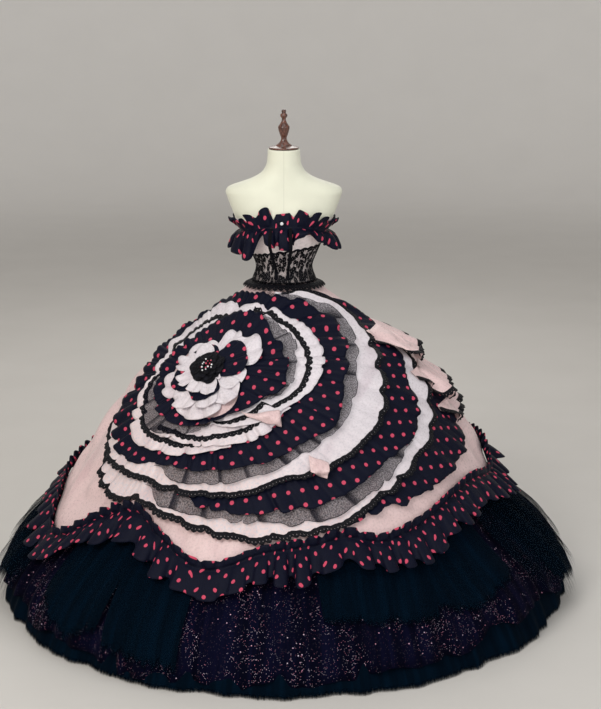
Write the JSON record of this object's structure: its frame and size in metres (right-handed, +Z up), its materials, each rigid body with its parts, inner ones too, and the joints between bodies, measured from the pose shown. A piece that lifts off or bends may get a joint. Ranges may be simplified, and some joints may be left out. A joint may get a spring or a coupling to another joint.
{
  "type": "prom dress on a dress form",
  "caption": "Strapless ball gown with a tiered rose over a domed satin and tulle skirt, ruffled neckline and lace cincher, on a limbless dress form with a pole stand.",
  "frame": {"origin": "centre of the underside of the form's base disc, on the floor", "axes": "+Z up, front of the gown toward -Y, the wearer's left toward +X"},
  "size_m": [1.8721, 1.8911, 1.5838],
  "materials": {
    "satin": "pale pink satin",
    "dotted": "navy black cloth with coral pink dots",
    "tulle": "black tulle",
    "dark_tulle": "dark teal tulle",
    "glitter_tulle": "black tulle with glitter",
    "lace": "black lace",
    "velvet": "black velvet ribbon",
    "gem": "white faceted stone",
    "form_cloth": "cream cotton cover",
    "turned_wood": "dark brown varnished wood",
    "painted_metal": "black painted steel"
  },
  "bodies": {
    "root": {"form_torso": "form_cloth", "neck_cap_finial": "turned_wood", "stand_pole": "painted_metal", "stand_base_disc": "painted_metal", "bodice_front": "satin", "bodice_back_left": "satin", "bodice_back_right": "satin", "cincher_front": "lace", "cincher_back": "lace", "cincher_hem_lace": "lace", "neckline_ruffle": "dotted", "ribbon_tail_left": "velvet", "ribbon_tail_right": "velvet", "ribbon_knot": "velvet", "neckline_gem": "gem", "tulle_petticoat": "dark_tulle", "glitter_tulle_skirt": "glitter_tulle", "tulle_panel_front_left": "dark_tulle", "tulle_panel_front_right": "dark_tulle", "tulle_panel_side_right": "dark_tulle", "tulle_panel_back": "dark_tulle", "tulle_panel_side_left": "dark_tulle", "satin_overskirt": "satin", "hem_ruffle": "dotted", "rose_heart": "lace", "rose_dotted_inner": "dotted", "rose_satin_frill": "satin", "rose_satin_petals": "satin", "rose_dotted_1": "dotted", "rose_tulle_1_right": "tulle", "rose_tulle_1_left": "tulle", "rose_satin_1_right": "satin", "rose_satin_1_right_lace": "lace", "rose_satin_1_low": "satin", "rose_satin_1_low_lace": "lace", "rose_satin_1_left": "satin", "rose_satin_1_left_lace": "lace", "rose_dotted_2": "dotted", "rose_tulle_2": "tulle", "rose_satin_2": "satin", "rose_satin_2_lace": "lace", "rose_dotted_3": "dotted", "rose_tulle_3": "tulle", "rose_satin_3": "satin", "rose_satin_3_lace": "lace", "rose_dotted_4": "dotted"}
  },
  "joints": []
}
